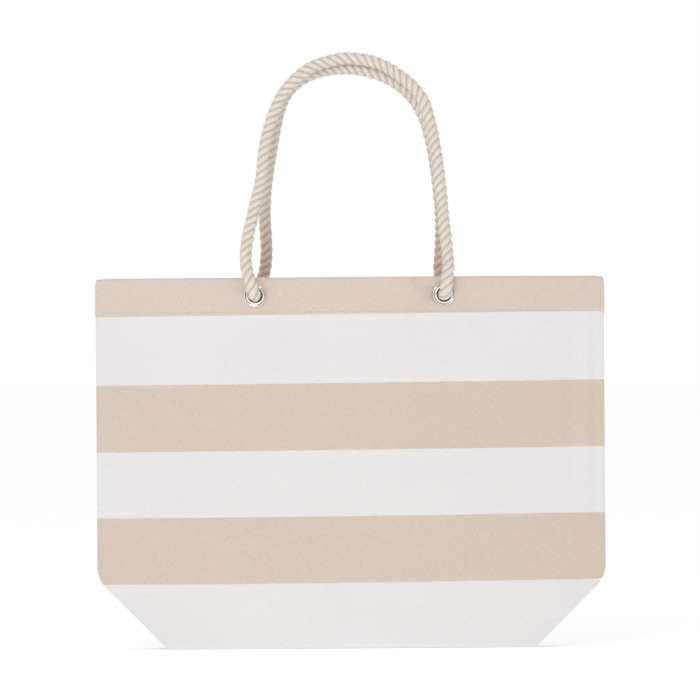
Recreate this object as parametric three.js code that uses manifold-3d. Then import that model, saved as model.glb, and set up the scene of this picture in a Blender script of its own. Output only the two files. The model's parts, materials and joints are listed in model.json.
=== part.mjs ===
// A canvas beach bag with two twisted rope handles, standing up and partly open.
//
// Frame: millimetres, +Z up, the front faces -Y. The origin is on the ground under the bag's middle.
// The two walls are shallow arched sheets that meet at the side seams. Below, the bag has boxed
// corners and its base is pleated upwards, so each wall's lower corners fold in along a diagonal
// crease and the bag stands on its two long base edges.

import * as THREE from 'three';
import { mergeVertices } from 'three/addons/utils/BufferGeometryUtils.js';
import Module from 'manifold-3d';

const wasm = await Module();
wasm.setup();

// ---------- driving dimensions, in millimetres ----------

const GAP = 0.3; // clearance between pieces that touch

// the bag's body
const BAG_WIDTH = 540; // across the side seams
const WALL_HEIGHT = 393; // from the ground to the top hem
const CORNER = 75; // length of half a boxed-corner seam, which is half the base's real depth
const BASE_SPREAD = 30; // how far each base edge stands from the middle
const BELLY_DEPTH = 44; // how far each wall's middle stands out at its fullest
const BELLY_HEIGHT = 150;
const MOUTH_DEPTH = 40; // how far each wall's middle stands out at the top
const CLOTH = 1.6; // thickness of a wall, cloth and lining
const FOOT_WIDTH = 4; // flat width of each base edge on the ground
const FOOT_HEIGHT = 4;

// hem and seam tapes
const HEM_HEIGHT = 40;
const FACING = 1.2;
const FACING_END_MARGIN = 22; // the facing stops this far short of the side seams
const TAPE_WIDTH = 12;
const TAPE = 0.9; // thickness
const TAPE_INSET = 4; // from a side seam to the edge of its tape
const BASE_TAPE_FOOT = 10; // height of a base tape's lower edge
const BASE_TAPE_END_MARGIN = 25; // a base tape stops this far short of the boxed corners
const CORNER_TAPE_FOOT = 26; // height of a corner tape's lower ends

// eyelets
const EYELET_SPACING = 200; // between the two eyelets of one wall
const EYELET_DROP = 19; // from the top hem to the eyelet's centre
const EYELET_CLEARANCE = 1.4; // how much wider its hole is than the rope
const EYELET_WALL = 0.9; // of the barrel
const FLANGE_RING = 4.8; // width of the rolled flange around the hole
const FLANGE = 1.6; // how proud the flange stands
const WASHER = 1;

// rope
const ROPE = 13; // diameter
const ROPE_OFF_FLANGE = 1.2; // between an eyelet's flange and the rope where it turns upwards
const KNOT_WIDTH = 2.6 * ROPE; // an overhand knot's size follows the rope that it is tied in
const KNOT_DEPTH = 2 * ROPE;
const TAIL_LENGTH = 36; // of loose rope below a knot's middle
const GRIP_GAP = 0.7; // between the two handles where they lean together
const ROPE_SIDES = 10;
const HANDLE_STEPS = 48;

const RING_SIDES = 28; // of each eyelet and washer

// The handles were laid out by hand for eyelets this far from the middle, and lean in by this much
// at the top. Each route is drawn in to its own eyelets, and its top to the other handle's.
const ROUTE_EYELET_X = 100;
const ROUTE_LEAN = 39;

// The front handle's centre line from the left eyelet to the right one, seen from the front:
// x, how far it leans back from its swing axis, and height above the eyelets. The rope stands up in
// a narrow arch that is a little fuller on its right.
const FRONT_ROUTE = [
	[ - 100, 0, 0 ],
	[ - 104, 0.4, 12 ],
	[ - 108.5, 1.8, 27 ],
	[ - 109.5, 4.2, 45 ],
	[ - 107, 7.5, 63 ],
	[ - 102.5, 11.5, 82 ],
	[ - 98.5, 15, 100 ],
	[ - 93.5, 18.5, 119 ],
	[ - 89, 25, 157 ],
	[ - 84.5, 28.5, 177 ],
	[ - 78.5, 31.5, 195 ],
	[ - 69.5, 35, 213.5 ],
	[ - 55, 37.5, 230.5 ],
	[ - 39, 38.5, 242 ],
	[ - 22, 39, 248 ],
	[ - 4, 39, 251.5 ],
	[ 16, 39, 250 ],
	[ 35, 38.5, 244.5 ],
	[ 52, 37.5, 234.5 ],
	[ 67.5, 35.5, 222 ],
	[ 79.5, 32.5, 206 ],
	[ 85.5, 29, 187 ],
	[ 91, 24, 160 ],
	[ 94.5, 20, 137 ],
	[ 98, 14, 102 ],
	[ 100.5, 9, 74 ],
	[ 103.5, 4.5, 46 ],
	[ 104.5, 1.6, 26 ],
	[ 102.5, 0.4, 12 ],
	[ 100, 0, 0 ],
];

// The back handle's, the same way, still seen from the front: it stands a little lower.
const BACK_ROUTE = [
	[ - 100, 0, 0 ],
	[ - 96, 0.4, 12 ],
	[ - 90.5, 1.8, 27 ],
	[ - 88.5, 4.5, 46 ],
	[ - 89, 8, 64 ],
	[ - 90, 12, 84 ],
	[ - 89, 17, 110 ],
	[ - 86, 21, 133 ],
	[ - 82, 25.5, 156 ],
	[ - 78.5, 29, 176 ],
	[ - 74, 32.5, 196 ],
	[ - 66, 35.5, 214 ],
	[ - 53, 37.5, 227.5 ],
	[ - 36, 38.5, 236.2 ],
	[ - 16, 39, 240.5 ],
	[ 5, 39, 240.7 ],
	[ 25, 38.8, 236.8 ],
	[ 43, 38, 229.8 ],
	[ 59, 36.5, 219 ],
	[ 73, 33.5, 203 ],
	[ 82, 29.5, 184 ],
	[ 88, 25, 162 ],
	[ 92.5, 19.5, 136 ],
	[ 96, 14.5, 108 ],
	[ 98, 9.5, 80 ],
	[ 97.5, 5, 50 ],
	[ 96, 2, 28 ],
	[ 98, 0.4, 12 ],
	[ 100, 0, 0 ],
];

// ---------- sizes that follow from them ----------

const HALF_WIDTH = BAG_WIDTH / 2;
const BASE_HALF_LENGTH = HALF_WIDTH - CORNER;
const RIDGE_HEIGHT = Math.sqrt( CORNER ** 2 - BASE_SPREAD ** 2 ); // top of the base's pleat
const SEAM_HALF = CLOTH + GAP / 2; // half the bag's thickness at a side seam
const PLEAT_FOOT = BASE_SPREAD + GAP / 2; // how far the pleat's sloping sides start from the middle
const PLEAT_LEAN = Math.atan2( PLEAT_FOOT, RIDGE_HEIGHT ); // of its sides from upright
const HEM_STACK = CLOTH + GAP + FACING; // wall and facing together, at an eyelet
const EYELET_X = EYELET_SPACING / 2;
const EYELET_Z = WALL_HEIGHT - EYELET_DROP;
const HOLE_RADIUS = ( ROPE + EYELET_CLEARANCE ) / 2;
const BARREL_RADIUS = HOLE_RADIUS + EYELET_WALL;
const FLANGE_RADIUS = HOLE_RADIUS + FLANGE_RING;
const PUNCHED_RADIUS = BARREL_RADIUS + GAP;
const ROPE_RADIUS = ROPE / 2;
const ROPE_STAND_OFF = ROPE_RADIUS + ROPE_OFF_FLANGE + FLANGE + GAP; // from the wall to the swing axis

// ---------- materials ----------

function finish( name, colour, roughness, metalness = 0 ) {

	return new THREE.MeshStandardMaterial( { name, color: colour, roughness, metalness } );

}

const canvas = () => finish( 'striped canvas', '#dccfc2', 0.95 );
const hemCanvas = () => finish( 'hem canvas', '#dacbbd', 0.95 );
const cottonTape = () => finish( 'cotton tape', '#e6dfd4', 0.95 );
const polishedNickel = () => finish( 'polished nickel', '#d8d4cd', 0.2, 1 );
const cottonRope = () => finish( 'cotton rope', '#ddd3c4', 0.9 );

// ---------- solids ----------

// A three.js geometry as a manifold solid, for joining and cutting.
function toSolid( geometry ) {

	const bare = geometry.clone();
	bare.deleteAttribute( 'normal' );
	bare.deleteAttribute( 'uv' );
	const merged = mergeVertices( bare, 1e-4 );
	return new wasm.Manifold( new wasm.Mesh( {
		numProp: 3,
		vertProperties: Float32Array.from( merged.attributes.position.array ),
		triVerts: Uint32Array.from( merged.index.array ),
	} ) );

}

function toGeometry( solid ) {

	const mesh = solid.getMesh();
	const geometry = new THREE.BufferGeometry();
	geometry.setAttribute( 'position', new THREE.BufferAttribute( mesh.vertProperties, 3 ) );
	geometry.setIndex( new THREE.BufferAttribute( mesh.triVerts, 1 ) );
	geometry.computeVertexNormals();
	return geometry;

}

// A closed sheet between two surfaces. outer and inner give a point for u and v from 0 to 1, with
// u running to the right and v up when the sheet is seen from its outer side.
function sheetBetween( outer, inner, columns, rows ) {

	const points = [];
	for ( const surface of [ outer, inner ] ) {

		for ( let row = 0; row <= rows; row ++ ) {

			for ( let column = 0; column <= columns; column ++ ) {

				points.push( ...surface( column / columns, row / rows ).toArray() );

			}

		}

	}

	const perSide = ( columns + 1 ) * ( rows + 1 );
	const at = ( side, column, row ) => side * perSide + row * ( columns + 1 ) + column;
	const triangles = [];
	const quad = ( a, b, c, d ) => triangles.push( a, b, c, a, c, d );
	for ( let row = 0; row < rows; row ++ ) {

		for ( let column = 0; column < columns; column ++ ) {

			quad( at( 0, column, row ), at( 0, column + 1, row ),
				at( 0, column + 1, row + 1 ), at( 0, column, row + 1 ) );
			quad( at( 1, column, row ), at( 1, column, row + 1 ),
				at( 1, column + 1, row + 1 ), at( 1, column + 1, row ) );

		}

	}

	for ( let column = 0; column < columns; column ++ ) {

		quad( at( 0, column + 1, 0 ), at( 0, column, 0 ), at( 1, column, 0 ), at( 1, column + 1, 0 ) );
		quad( at( 0, column, rows ), at( 0, column + 1, rows ),
			at( 1, column + 1, rows ), at( 1, column, rows ) );

	}

	for ( let row = 0; row < rows; row ++ ) {

		quad( at( 0, 0, row ), at( 0, 0, row + 1 ), at( 1, 0, row + 1 ), at( 1, 0, row ) );
		quad( at( 0, columns, row + 1 ), at( 0, columns, row ),
			at( 1, columns, row ), at( 1, columns, row + 1 ) );

	}

	const geometry = new THREE.BufferGeometry();
	geometry.setAttribute( 'position', new THREE.Float32BufferAttribute( points, 3 ) );
	geometry.setIndex( triangles );
	geometry.computeVertexNormals();
	return geometry;

}

// A flat outline in Y and Z, extruded along X from one end to the other.
function barAlongX( outline, fromX, toX ) {

	const shape = new THREE.Shape( outline.map( ( [ y, z ] ) => new THREE.Vector2( y, z ) ) );
	const bar = new THREE.ExtrudeGeometry( shape, { depth: toX - fromX, bevelEnabled: false } );
	// the shape's own axes are turned onto Y and Z, and its depth onto X
	bar.applyMatrix4( new THREE.Matrix4().makeBasis(
		new THREE.Vector3( 0, 1, 0 ), new THREE.Vector3( 0, 0, 1 ), new THREE.Vector3( 1, 0, 0 ) ) );
	bar.translate( fromX, 0, 0 );
	return bar;

}

// A round-section tube along a smooth curve through the points.
function tubeThrough( points, radius, steps ) {

	const section = new THREE.Shape();
	for ( let side = 0; side < ROPE_SIDES; side ++ ) {

		const turn = ( side / ROPE_SIDES ) * Math.PI * 2;
		const x = Math.cos( turn ) * radius;
		const y = Math.sin( turn ) * radius;
		if ( side === 0 ) section.moveTo( x, y );
		else section.lineTo( x, y );

	}

	return new THREE.ExtrudeGeometry( section, {
		steps, bevelEnabled: false, extrudePath: new THREE.CatmullRomCurve3( points, false, 'centripetal' ),
	} );

}

// ---------- the walls' arched shape ----------

// How far a wall's middle stands out, beyond the side seams, at a height.
function bellyAt( z ) {

	if ( z < BELLY_HEIGHT ) {

		const rise = Math.sin( ( z / BELLY_HEIGHT ) * Math.PI / 2 );
		return BASE_SPREAD + ( BELLY_DEPTH - BASE_SPREAD ) * rise;

	}

	const upper = ( z - BELLY_HEIGHT ) / ( WALL_HEIGHT - BELLY_HEIGHT );
	return BELLY_DEPTH + ( MOUTH_DEPTH - BELLY_DEPTH ) * Math.sin( upper * Math.PI / 2 ) ** 2;

}

// How far along the diagonal crease a height is: 0 on the ground, 1 where it meets the side seam.
const creaseAt = ( z ) => Math.min( z / RIDGE_HEIGHT, 1 );

const halfWidthAt = ( z ) => BASE_HALF_LENGTH + CORNER * creaseAt( z );

// The distance from the bag's middle plane to a wall's outer face, less half the side seam.
function arch( x, z ) {

	const edge = BASE_SPREAD * ( 1 - creaseAt( z ) );
	const across = x / halfWidthAt( z );
	return edge + ( bellyAt( z ) - edge ) * ( 1 - across ** 2 );

}

// A point on the front wall, sunk by a depth below its outer face.
const onWall = ( x, z, depth ) => new THREE.Vector3( x, - ( arch( x, z ) + SEAM_HALF - depth ), z );

// The front wall's outward direction at a point.
function wallNormal( x, z ) {

	const step = 0.5;
	const alongX = onWall( x + step, z, 0 ).sub( onWall( x - step, z, 0 ) );
	const alongZ = onWall( x, z + step, 0 ).sub( onWall( x, z - step, 0 ) );
	return alongX.cross( alongZ ).normalize();

}

// The base's upward pleat is an inverted V. This is the distance from the middle plane to its side,
// and the height of its ridge, on a surface that lies an offset above the side's middle.
const pleatY = ( z, offset ) => PLEAT_FOOT * ( 1 - z / RIDGE_HEIGHT ) + offset / Math.cos( PLEAT_LEAN );

const pleatTop = ( offset ) => RIDGE_HEIGHT + offset / Math.sin( PLEAT_LEAN );

// ---------- cloth pieces ----------

const WALL_COLUMNS = 24;
const CREASE_ROWS = 3;
const UPPER_ROWS = 8;

// The arched wall itself. Its lower rows follow the diagonal creases, its upper rows the side seams.
function wallSheet() {

	const rows = CREASE_ROWS + UPPER_ROWS;
	const heightOf = ( v ) => {

		const row = v * rows;
		if ( row <= CREASE_ROWS ) return RIDGE_HEIGHT * row / CREASE_ROWS;
		return RIDGE_HEIGHT + ( WALL_HEIGHT - RIDGE_HEIGHT ) * ( row - CREASE_ROWS ) / UPPER_ROWS;

	};

	const surface = ( depth ) => ( u, v ) => {

		const z = heightOf( v );
		return onWall( ( 2 * u - 1 ) * halfWidthAt( z ), z, depth );

	};

	return sheetBetween( surface( 0 ), surface( CLOTH ), WALL_COLUMNS, rows );

}

// The triangle of the wall that folds in behind its lower corner: from the crease up to the
// pleat's ridge. It is trimmed to the front half of the bag and to the ground.
function cornerFold( side ) {

	const foot = new THREE.Vector3( side * BASE_HALF_LENGTH, - PLEAT_FOOT, 0 );
	const ridgeIn = new THREE.Vector3( side * BASE_HALF_LENGTH, 0, RIDGE_HEIGHT );
	const ridgeOut = new THREE.Vector3( side * HALF_WIDTH, 0, RIDGE_HEIGHT );
	const downward = new THREE.Vector3( 0, Math.cos( PLEAT_LEAN ), - Math.sin( PLEAT_LEAN ) );
	const corners = [];
	for ( const half of [ - 0.5, 0.5 ] ) {

		for ( const point of [ foot, ridgeOut, ridgeIn ] ) {

			corners.push( ...point.clone().addScaledVector( downward, half * CLOTH ).toArray() );

		}

	}

	const geometry = new THREE.BufferGeometry();
	geometry.setAttribute( 'position', new THREE.Float32BufferAttribute( corners, 3 ) );
	const faces = [ 0, 1, 2, 3, 5, 4, 0, 3, 4, 0, 4, 1, 1, 4, 5, 1, 5, 2, 2, 5, 3, 2, 3, 0 ];
	geometry.setIndex( side > 0 ? faces : faces.toReversed() );

	const depth = BELLY_DEPTH * 2;
	const trim = new THREE.BoxGeometry( CORNER * 2, depth, WALL_HEIGHT );
	trim.translate( side * ( BASE_HALF_LENGTH + GAP + CORNER ), - depth / 2 - GAP / 2, WALL_HEIGHT / 2 );
	return toSolid( geometry ).intersect( toSolid( trim ) );

}

// A cylinder square through the wall at an eyelet, long enough to pierce wall and facing.
function punch( x ) {

	const length = 30;
	const cylinder = new THREE.CylinderGeometry( PUNCHED_RADIUS, PUNCHED_RADIUS, length, RING_SIDES );
	const turn = new THREE.Quaternion().setFromUnitVectors(
		new THREE.Vector3( 0, 1, 0 ), wallNormal( x, EYELET_Z ) );
	cylinder.applyQuaternion( turn );
	cylinder.translate( ...onWall( x, EYELET_Z, 0 ).toArray() );
	return toSolid( cylinder );

}

const punched = ( solid ) => solid.subtract( punch( - EYELET_X ) ).subtract( punch( EYELET_X ) );

function wallGeometry() {

	const wall = toSolid( wallSheet() ).add( cornerFold( - 1 ) ).add( cornerFold( 1 ) );
	return toGeometry( punched( wall ) );

}

// The hem's inner layer, against the inside of the wall.
function facingGeometry() {

	const reach = HALF_WIDTH - FACING_END_MARGIN;
	const surface = ( depth ) => ( u, v ) => onWall(
		( 2 * u - 1 ) * reach, WALL_HEIGHT - HEM_HEIGHT * ( 1 - v ), depth );
	const strip = sheetBetween(
		surface( CLOTH + GAP ), surface( CLOTH + GAP + FACING ), WALL_COLUMNS, 3 );
	return toGeometry( punched( toSolid( strip ) ) );

}

// The base, pleated upwards along its middle, with a flat foot along each long edge.
function baseGeometry() {

	const top = - GAP * Math.cos( PLEAT_LEAN );
	const underside = top - CLOTH;
	const outerEdge = pleatY( 0, top );
	const half = [
		[ outerEdge, 0 ],
		[ outerEdge - FOOT_WIDTH, 0 ],
		[ pleatY( FOOT_HEIGHT, underside ), FOOT_HEIGHT ],
	];
	const outline = [
		...half.map( ( [ y, z ] ) => [ - y, z ] ),
		[ 0, pleatTop( underside ) ],
		...half.toReversed(),
		[ 0, pleatTop( top ) ],
	];
	return barAlongX( outline, - BASE_HALF_LENGTH, BASE_HALF_LENGTH );

}

// Tape over a side seam: a flat strip standing in from the seam between the two walls.
function sideTapeGeometry() {

	const bottom = pleatTop( CLOTH / 2 + TAPE );
	const height = WALL_HEIGHT - bottom;
	const tape = new THREE.BoxGeometry( TAPE_WIDTH, TAPE, height );
	tape.translate( HALF_WIDTH - TAPE_INSET - TAPE_WIDTH / 2, 0, bottom + height / 2 );
	return tape;

}

// Tape along the seam between the front wall and the base, lying on the base's slope.
function baseTapeGeometry() {

	const strip = [ BASE_TAPE_FOOT, BASE_TAPE_FOOT + TAPE_WIDTH ];
	const under = strip.map( ( z ) => [ - pleatY( z, 0 ), z ] );
	const over = strip.map( ( z ) => [ - pleatY( z, TAPE ), z ] );
	const reach = BASE_HALF_LENGTH - BASE_TAPE_END_MARGIN;
	return barAlongX( [ ...under, ...over.toReversed() ], - reach, reach );

}

// Tape over a boxed-corner seam: an inverted V that lies over the joint of base and corner folds.
function cornerTapeGeometry() {

	const under = CLOTH / 2 + GAP;
	const over = under + TAPE;
	const outline = [
		[ - pleatY( CORNER_TAPE_FOOT, over ), CORNER_TAPE_FOOT ],
		[ - pleatY( CORNER_TAPE_FOOT, under ), CORNER_TAPE_FOOT ],
		[ 0, pleatTop( under ) ],
		[ pleatY( CORNER_TAPE_FOOT, under ), CORNER_TAPE_FOOT ],
		[ pleatY( CORNER_TAPE_FOOT, over ), CORNER_TAPE_FOOT ],
		[ 0, pleatTop( over ) ],
	];
	return barAlongX( outline, - TAPE_WIDTH / 2, TAPE_WIDTH / 2 );

}

// ---------- eyelets ----------

// A closed profile of radii and heights, turned about Z.
function turnedRing( profile ) {

	const points = profile.map( ( [ radius, height ] ) => new THREE.Vector2( radius, height ) );
	const ring = new THREE.LatheGeometry( points, RING_SIDES );
	ring.rotateX( Math.PI / 2 );
	return ring;

}

// The rolled flange and the barrel, turned about Z with the flange's underside at height 0.
function eyeletGeometry( barrelLength ) {

	const hole = HOLE_RADIUS;
	const rim = FLANGE_RADIUS;
	const profile = [
		[ hole, - barrelLength ],
		[ hole + EYELET_WALL, - barrelLength ],
		[ hole + EYELET_WALL, 0 ],
		[ rim, 0 ],
		[ rim - FLANGE * 0.15, FLANGE * 0.6 ],
		[ rim - FLANGE, FLANGE ],
		[ hole + FLANGE * 0.8, FLANGE ],
		[ hole, FLANGE * 0.3 ],
		[ hole, - barrelLength ],
	];
	return turnedRing( profile );

}

function washerGeometry() {

	const hole = BARREL_RADIUS + GAP;
	const rim = FLANGE_RADIUS;
	const profile = [ [ hole, 0 ], [ rim, 0 ], [ rim - 0.4, WASHER ], [ hole, WASHER ], [ hole, 0 ] ];
	return turnedRing( profile );

}

// ---------- rope ----------

// Where the rope comes out of the front wall's left (-1) or right (1) eyelet and turns upwards.
// The handle's swing axis runs through both these points.
function swingPoint( side ) {

	const x = side * EYELET_X;
	return onWall( x, EYELET_Z, 0 ).addScaledVector( wallNormal( x, EYELET_Z ), ROPE_STAND_OFF );

}

// A rope's fixed end: from a round end on the swing axis, in through the eyelet, to its stopper knot.
function ropeEndGeometry( side ) {

	const start = swingPoint( side );
	const inward = wallNormal( side * EYELET_X, EYELET_Z ).negate();
	const toKnot = ROPE_STAND_OFF + HEM_STACK + WASHER + 3 * GAP + KNOT_DEPTH / 2;
	const knotCentre = start.clone().addScaledVector( inward, toKnot );

	const roundEnd = new THREE.SphereGeometry( ROPE_RADIUS, 12, 8 );
	roundEnd.translate( ...start.toArray() );
	const shank = tubeThrough( [ start, start.clone().lerp( knotCentre, 0.5 ), knotCentre ], ROPE_RADIUS, 2 );
	const knot = new THREE.SphereGeometry( 1, 14, 10 );
	knot.scale( KNOT_WIDTH / 2, KNOT_DEPTH / 2, KNOT_WIDTH / 2 );
	knot.applyQuaternion( new THREE.Quaternion().setFromUnitVectors( new THREE.Vector3( 0, 1, 0 ), inward ) );
	knot.translate( ...knotCentre.toArray() );
	const tail = new THREE.CylinderGeometry( ROPE_RADIUS, ROPE_RADIUS, TAIL_LENGTH, ROPE_SIDES );
	tail.rotateX( Math.PI / 2 );
	tail.translate( knotCentre.x, knotCentre.y, knotCentre.z - TAIL_LENGTH / 2 );

	const pieces = [ shank, knot, tail ].map( toSolid );
	return toGeometry( pieces.reduce( ( whole, piece ) => whole.add( piece ), toSolid( roundEnd ) ) );

}

// A handle: the rope's free arch, which starts and ends just clear of the rounded fixed ends.
function handleGeometry( route ) {

	const axis = swingPoint( 1 );
	const spread = EYELET_X / ROUTE_EYELET_X;
	const leanScale = ( - axis.y - ROPE_RADIUS - GRIP_GAP / 2 ) / ROUTE_LEAN;
	const through = route.map( ( [ x, lean, rise ] ) => new THREE.Vector3(
		x * spread, axis.y + lean * leanScale, axis.z + rise ) );
	through[ 0 ].x = - axis.x;
	through.at( - 1 ).x = axis.x;
	const clear = ROPE_RADIUS + 2 * GAP;
	const ends = [ [ 0, 1 ], [ through.length - 1, through.length - 2 ] ];
	for ( const [ end, next ] of ends ) {

		const direction = through[ next ].clone().sub( through[ end ] ).normalize();
		through[ end ].addScaledVector( direction, clear );

	}

	return tubeThrough( through, ROPE_RADIUS, HANDLE_STEPS );

}

// ---------- the bag put together ----------

const group = new THREE.Group();

function addMesh( parent, name, geometry, material ) {

	const mesh = new THREE.Mesh( geometry, material );
	mesh.name = name;
	parent.add( mesh );
	return mesh;

}

// An eyelet and its washer, square to the wall at the left (-1) or right (1) hole.
function addEyelet( parent, name, side ) {

	const x = side * EYELET_X;
	const normal = wallNormal( x, EYELET_Z );
	const turn = new THREE.Quaternion().setFromUnitVectors( new THREE.Vector3( 0, 0, 1 ), normal );
	const face = onWall( x, EYELET_Z, 0 );
	const washerDepth = HEM_STACK + GAP + WASHER;

	const barrelLength = washerDepth + GAP;
	const eyelet = addMesh( parent, `${ name }_eyelet`, eyeletGeometry( barrelLength ), polishedNickel() );
	eyelet.position.copy( face ).addScaledVector( normal, GAP );
	eyelet.quaternion.copy( turn );

	const washer = addMesh( parent, `${ name }_eyelet_washer`, washerGeometry(), polishedNickel() );
	washer.position.copy( face ).addScaledVector( normal, - washerDepth );
	washer.quaternion.copy( turn );

}

// Both halves of the bag are alike but for their handles, so the back one is the front one turned
// about Z. A side's name stays the side of the whole bag, seen from the front.
for ( const half of [ 'front', 'back' ] ) {

	const isFront = half === 'front';
	const halfGroup = new THREE.Group();
	halfGroup.rotation.z = isFront ? 0 : Math.PI;
	group.add( halfGroup );

	addMesh( halfGroup, `${ half }_panel`, wallGeometry(), canvas() );
	addMesh( halfGroup, `${ half }_hem_facing`, facingGeometry(), hemCanvas() );
	addMesh( halfGroup, `${ half }_base_seam_binding`, baseTapeGeometry(), cottonTape() );

	for ( const side of [ - 1, 1 ] ) {

		const seenLeft = ( side === - 1 ) === isFront;
		const name = `${ half }_${ seenLeft ? 'left' : 'right' }`;
		addEyelet( halfGroup, name, side );
		addMesh( halfGroup, `${ name }_rope_end`, ropeEndGeometry( side ), cottonRope() );

	}

	const turnedRoute = BACK_ROUTE.map( ( [ x, lean, rise ] ) => [ - x, lean, rise ] ).toReversed();
	const handle = handleGeometry( isFront ? FRONT_ROUTE : turnedRoute );
	addMesh( halfGroup, `${ half }_rope_handle`, handle, cottonRope() );

}

addMesh( group, 'base_panel', baseGeometry(), canvas() );

for ( const [ side, sideName ] of [ [ - 1, 'left' ], [ 1, 'right' ] ] ) {

	const sideGroup = new THREE.Group();
	sideGroup.rotation.z = side > 0 ? 0 : Math.PI;
	group.add( sideGroup );
	addMesh( sideGroup, `${ sideName }_side_seam_binding`, sideTapeGeometry(), cottonTape() );

	const cornerName = `${ sideName }_corner_seam_binding`;
	const cornerTape = addMesh( sideGroup, cornerName, cornerTapeGeometry(), cottonTape() );
	cornerTape.position.x = BASE_HALF_LENGTH;

}

export default group;
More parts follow.
